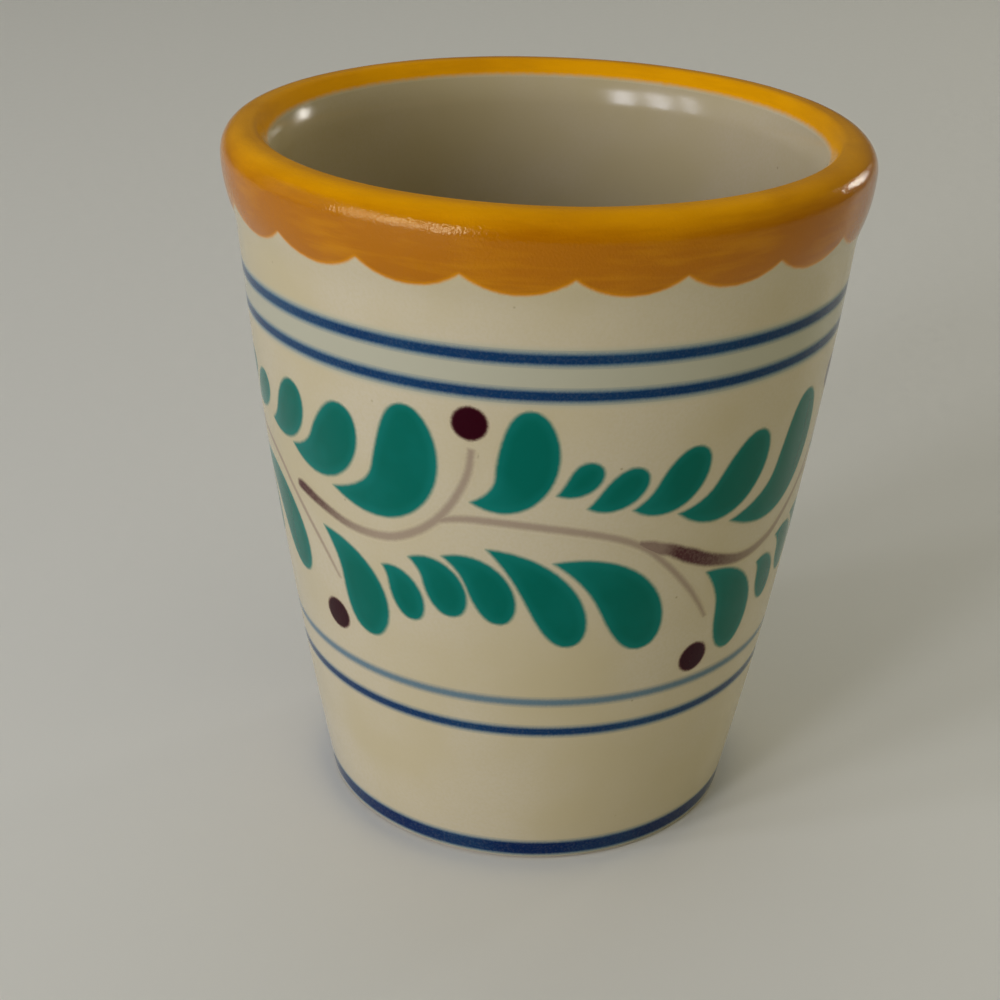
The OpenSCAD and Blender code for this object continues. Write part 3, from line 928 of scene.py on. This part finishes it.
class CUP_OT_glazes(bpy.types.Operator):
    """Cream glaze outside and inside, and the clay and glaze under the foot"""

    bl_idname = "cup.glazes"
    bl_label = "Glazes"

    def execute(self, context):
        section, _, form, _, colours = shape()
        cream = cream_tin_glaze(colours)
        for name, rows, glaze in (
            ("outer_glaze", section.outside(WALL_STEP, SWELLING_STEP), cream),
            ("inner_glaze", section.inside(WALL_STEP, FLARE_STEP), cream_tin_glaze_inside_shaded(colours)),
        ):
            solid = lathe(rows, ROUND_COLUMNS, np.zeros((len(rows), 1)), form.glaze_t, form)
            new_piece(name + "_thrown", solid, glaze, "cream_glaze", [name])
        dress("clay_body", bare_clay(colours))
        dress("base_glaze", cream)
        return {"FINISHED"}


# How many bleeds the ochre's mesh reaches beyond its edge.
RIM_REACH = 4
# Inside, the ochre gives out over a wider stretch than at the scallops.
INSIDE_FADE = 0.6


def scallops(painting, wall_r, turn):
    """How far the ochre hangs below the cusps in each direction, and how steep its edge is there."""
    step = 2 * math.pi / painting.scallop_count
    offset = (turn - painting.scallop_turn) % step - step / 2
    half_w = wall_r * math.sin(step / 2)
    lobe_r = (half_w**2 + painting.scallop_h**2) / (2 * painting.scallop_h)
    drop = np.sqrt(lobe_r**2 - (wall_r * np.sin(offset)) ** 2) - (lobe_r - painting.scallop_h)
    return drop, np.abs(np.gradient(drop, turn[1] * wall_r))


class CUP_OT_rim_colour(bpy.types.Operator):
    """Ochre over the lip, with its scalloped lower edge"""

    bl_idname = "cup.rim_colour"
    bl_label = "Rim colour"

    def execute(self, context):
        section, _, form, painting, colours = shape()
        bleed = painting.bleed
        cusp_z = form.height - painting.band_drop
        inside_z = form.height - painting.band_inside
        outer = section.outside(OCHRE_STEP, OCHRE_STEP)
        inner = section.inside(OCHRE_WALL_STEP, OCHRE_FLARE_STEP)
        outer = outer[outer[:, 1] > cusp_z - painting.scallop_h - RIM_REACH * bleed]
        inner = inner[inner[:, 1] > inside_z - RIM_REACH * bleed]
        rows = join(outer, inner)
        run = along(rows)
        crown_run = run[len(outer) - 1]
        cusp_run = np.interp(cusp_z, outer[:, 1], along(outer))
        end_run = crown_run + np.interp(inside_z, inner[::-1, 1], along(inner)[::-1])
        columns = painting.scallop_count * SCALLOP_COLUMNS
        turn = np.linspace(0, 2 * math.pi, columns, endpoint=False)
        drop, slope = scallops(painting, section.wall_r(cusp_z), turn)
        low = (run[:, None] - (cusp_run - drop)[None]) / np.sqrt(1 + slope**2)[None]
        high = INSIDE_FADE * (end_run - run)[:, None]
        share = np.repeat(np.clip((crown_run - run) / crown_run, 0, 1)[:, None], columns, 1)
        ochre = ochre_over_glaze(colours, bleed)
        nodes = ["rim_band", "rim_scallops"]
        paint_ring("rim_ochre", nodes, "ochre", ochre, rows, depth=np.minimum(low, high), share=share)
        return {"FINISHED"}


# How far the cobalt ran out beyond each edge of a line, and how many bleeds its mesh reaches.
LINE_RUN_OUT = 0.08 * MM
FOOT_RUN_OUT = 0.25 * MM
LINE_REACH = 3.3
LINE_ROWS = 15


class CUP_OT_blue_lines(bpy.types.Operator):
    """The five cobalt lines, run on the wheel"""

    bl_idname = "cup.blue_lines"
    bl_label = "Blue lines"

    def execute(self, context):
        _, garland, form, painting, colours = shape()
        bleed = painting.bleed
        full = banded_cobalt("banded_cobalt", colours, colours.cobalt_thick, bleed, 0.99)
        pale = banded_cobalt("banded_cobalt_pale", colours, colours.cobalt_thin, bleed, 0.85)
        deep = banded_cobalt("banded_cobalt_deep", colours, colours.foot_cobalt, bleed, 1.0)
        for node, cobalt, run_out in (
            ("foot_line", deep, FOOT_RUN_OUT),
            ("low_line_lower", full, LINE_RUN_OUT),
            ("low_line_upper", pale, LINE_RUN_OUT),
            ("top_line_lower", full, LINE_RUN_OUT),
            ("top_line_upper", full, LINE_RUN_OUT),
        ):
            low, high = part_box(node)
            middle, half = (low.z + high.z) / 2, (high.z - low.z) / 2
            reach = half + LINE_REACH * bleed
            z = np.linspace(max(middle - reach, form.foot_bare), middle + reach, LINE_ROWS)
            rows, _ = garland.on_wall(np.stack([0 * z, z], -1), 0.0)
            depth = (half + run_out - np.abs(z - middle))[:, None]
            depth = np.repeat(depth, ROUND_COLUMNS, 1)
            paint_ring(node + "_brushed", [node], "cobalt", cobalt, rows, depth=depth)
        return {"FINISHED"}


# How much fuller than a line a leaf and a berry stand, and how thin a branch lies.
LEAF_FULLNESS = 1.5
BERRY_FULLNESS = 2
BRANCH_FULLNESS = 0.5


class CUP_OT_leaves(bpy.types.Operator):
    """Comma-stroke leaves of the four sprays"""

    bl_idname = "cup.leaves"
    bl_label = "Leaves"

    def execute(self, context):
        _, garland, form, painting, colours = shape()
        green = copper_green(colours, painting.bleed)
        for s, letter in enumerate(SPRAYS):
            for part, table, slips in (
                ("upper", UPPER_LEAF_SHARES, UPPER_SLIP_SHARES),
                ("lower", LOWER_LEAF_SHARES, LOWER_SLIP_SHARES),
            ):
                layer = Layer(garland, form, LEAF_FULLNESS * painting.paint_lift, painting.bleed)
                for shares in table:
                    layer.add(*leaf_stroke(garland, s, shares, slips[s]))
                layer.piece(f"spray_{letter}_{part}_leaves", green, "leaf_green")
        return {"FINISHED"}


STEM_BLEED = 1.3
# Where the brush is in its stroke at the start of a clean stem, a smeared one and a branch.
CLEAN_START = 0.0
SMEARED_START = -0.22
BRANCH_START = 0.45


class CUP_OT_stems(bpy.types.Operator):
    """Stems and branches of the four sprays"""

    bl_idname = "cup.stems"
    bl_label = "Stems"

    def execute(self, context):
        _, garland, form, painting, colours = shape()
        mauve = manganese_mauve(colours, painting.bleed)
        stems = (
            (CLEAN_START_SHARES + STEM_SHARES, CLEAN_START, 1.0),
            (SMEARED_START_SHARES + STEM_SHARES, SMEARED_START, 1.0),
        )
        branch = BRANCH_SHARES, BRANCH_START, BRANCH_FULLNESS
        for s, letter in enumerate(SPRAYS):
            layer = Layer(garland, form, painting.paint_lift, STEM_BLEED * painting.bleed)
            for shares, start, fullness in (stems[s % 2], branch):
                stroke = stem_stroke(garland, s, shares, painting.stem_half_w)
                layer.add(*stroke, start, fullness)
            layer.piece(f"spray_{letter}_stems", mauve, "mauve")
        return {"FINISHED"}


class CUP_OT_berries(bpy.types.Operator):
    """Berries of the four sprays"""

    bl_idname = "cup.berries"
    bl_label = "Berries"

    def execute(self, context):
        _, garland, form, painting, colours = shape()
        maroon = manganese_maroon(colours, painting.bleed)
        for s, letter in enumerate(SPRAYS):
            layer = Layer(garland, form, BERRY_FULLNESS * painting.paint_lift, painting.bleed)
            for share in BERRY_SHARES:
                layer.add(*berry_stroke(garland, s, share, painting.berry_r))
            layer.piece(f"spray_{letter}_berries", maroon, "maroon")
        return {"FINISHED"}


# The stage. The camera stands where the photograph was taken.
CAMERA_AT = (0.0, -253.84 * MM, 163.44 * MM)
# How far it looks down, how far to the right, and how far it leans to the left.
CAMERA_PITCH = math.radians(25.35)
CAMERA_YAW = math.radians(-1.19)
CAMERA_ROLL = math.radians(1.67)
CAMERA_LENS = 67.14
SENSOR = 36.0
CLIP_START = 10 * MM
FLOOR_HALF = 3.0
FLOOR_DEEP = 0.02
FLOOR_ROUGHNESS = 0.5
# How strongly the room lights the cup, and how pale the camera sees it.
ROOM_LIGHT = 0.06
ROOM_SEEN = 0.6
ROOM_COLOUR = "#FFFFFC"
LAMP_DISTANCE = 1.2
LAMP_TARGET = Vector((0, 0, 60 * MM))
COOL = (0.9, 0.91, 1.0)
WARM = (1.0, 0.9, 0.45)
# Direction from the front, angle up, width and height of each lamp in degrees, its radiance and tint.
# The glaze mirrors the windows, and the fill stays out of its reflections.
LAMPS = {
    "window_right": (-34, 17, 9, 25, 12.0, COOL),
    "window_middle": (-51, 17, 9, 25, 10.0, COOL),
    "window_left": (-67, 17, 6, 25, 8.0, COOL),
    "window_glow": (-66, 19, 84, 37, 0.35, COOL),
    "lamp_behind": (132, 11, 7, 9, 12.0, (1.0, 0.96, 0.9)),
}
FILL = {
    "warm_wall": (75, 18, 100, 30, 0.62, WARM),
    "far_wall": (180, 42, 60, 40, 0.7, (1.0, 1.0, 0.95)),
    "ceiling": (-20, 84, 60, 60, 0.5, (1.0, 0.97, 0.9)),
}


def lamp(name, direction, elevation, width, height, radiance, colour):
    """A soft rectangular lamp, placed by angles and sized in degrees as seen from the cup."""
    data = bpy.data.lights.new(name, "AREA")
    data.shape = "RECTANGLE"
    data.size = 2 * LAMP_DISTANCE * math.tan(math.radians(width) / 2)
    data.size_y = 2 * LAMP_DISTANCE * math.tan(math.radians(height) / 2)
    data.energy = math.pi * radiance * data.size * data.size_y
    data.color = colour
    a, e = math.radians(direction), math.radians(elevation)
    way = Vector((math.sin(a) * math.cos(e), -math.cos(a) * math.cos(e), math.sin(e)))
    at = LAMP_TARGET + LAMP_DISTANCE * way
    light = bpy.data.objects.new(name, data)
    turn = (LAMP_TARGET - at).to_track_quat("-Z", "Y").to_matrix().to_4x4()
    light.matrix_world = Matrix.Translation(at) @ turn
    bpy.context.scene.collection.objects.link(light)
    return light


class CUP_OT_stage(bpy.types.Operator):
    """Pale floor, soft light and the camera of the photograph"""

    bl_idname = "cup.stage"
    bl_label = "Stage"

    def execute(self, context):
        scene = context.scene
        scene.view_settings.view_transform = "Standard"
        self.floor(scene)
        self.room(scene)
        for name, settings in LAMPS.items():
            lamp(name, *settings)
        for name, settings in FILL.items():
            lamp(name, *settings).visible_glossy = False
        self.camera(scene)
        return {"FINISHED"}

    def floor(self, scene):
        """A wide pale slab with its top at the table's height, even in colour and without relief."""
        square = [(x * FLOOR_HALF, y * FLOOR_HALF) for x, y in ((-1, -1), (1, -1), (1, 1), (-1, 1))]
        corners = [(x, y, z) for z in (-FLOOR_DEEP, 0) for x, y in square]
        sides = [[i, (i + 1) % 4, (i + 1) % 4 + 4, i + 4] for i in range(4)]
        mesh = bpy.data.meshes.new("floor")
        mesh.from_pydata(corners, [], [[4, 5, 6, 7], [3, 2, 1, 0], *sides])
        material, tree, where = new_material("pale_floor")
        floor = scene.cup_colours.floor
        fire(tree, where, floor, peel=0.0, grit=0.0, roughness=FLOOR_ROUGHNESS)
        mesh.materials.append(material)
        slab = bpy.data.objects.new("floor", mesh)
        scene.collection.objects.link(slab)

    def room(self, scene):
        """A dim room, pale where the camera sees it."""
        world = bpy.data.worlds.new("room")
        scene.world = world
        world.use_nodes = True
        tree = world.node_tree
        seen = add(tree, "LightPath", output="Is Camera Ray")
        strength = add(tree, "MapRange", [seen, 0.0, 1.0, ROOM_LIGHT, ROOM_SEEN])
        background = tree.nodes["Background"]
        background.inputs["Color"].default_value = linear(ROOM_COLOUR)
        tree.links.new(strength, background.inputs["Strength"])

    def camera(self, scene):
        """The photograph's view."""
        data = bpy.data.cameras.new("camera")
        data.sensor_width = SENSOR
        data.lens = CAMERA_LENS
        data.clip_start = CLIP_START
        camera = bpy.data.objects.new("camera", data)
        camera.matrix_world = (
            Matrix.Translation(CAMERA_AT)
            @ Matrix.Rotation(-CAMERA_YAW, 4, "Z")
            @ Matrix.Rotation(math.pi / 2 - CAMERA_PITCH, 4, "X")
            @ Matrix.Rotation(CAMERA_ROLL, 4, "Z")
        )
        scene.collection.objects.link(camera)
        scene.camera = camera


MAKING = ("glazes", "rim_colour", "blue_lines", "leaves", "stems", "berries", "stage")


class CUP_PT_making(bpy.types.Panel):
    """Lists the steps in the order in which the cup is made, and its sizes and colours"""

    bl_label = "Hand-painted cup"
    bl_space_type = "VIEW_3D"
    bl_region_type = "UI"
    bl_category = "Cup"

    def draw(self, context):
        for step in MAKING:
            self.layout.operator(f"cup.{step}")
        for group in GROUPS:
            settings = getattr(context.scene, group)
            for name in settings.bl_rna.properties.keys():
                if name not in ("rna_type", "name"):
                    self.layout.prop(settings, name)


GROUPS = {"cup_form": CupForm, "cup_painting": CupPainting, "cup_colours": CupColours}
CLASSES = (
    *GROUPS.values(),
    CUP_OT_glazes,
    CUP_OT_rim_colour,
    CUP_OT_blue_lines,
    CUP_OT_leaves,
    CUP_OT_stems,
    CUP_OT_berries,
    CUP_OT_stage,
    CUP_PT_making,
)


def register():
    for cls in CLASSES:
        bpy.utils.register_class(cls)
    for name, group in GROUPS.items():
        setattr(bpy.types.Scene, name, bpy.props.PointerProperty(type=group))


def unregister():
    for name in GROUPS:
        delattr(bpy.types.Scene, name)
    for cls in reversed(CLASSES):
        bpy.utils.unregister_class(cls)


def main():
    register()
    for step in MAKING:
        getattr(bpy.ops.cup, step)()


if __name__ == "__main__":
    main()
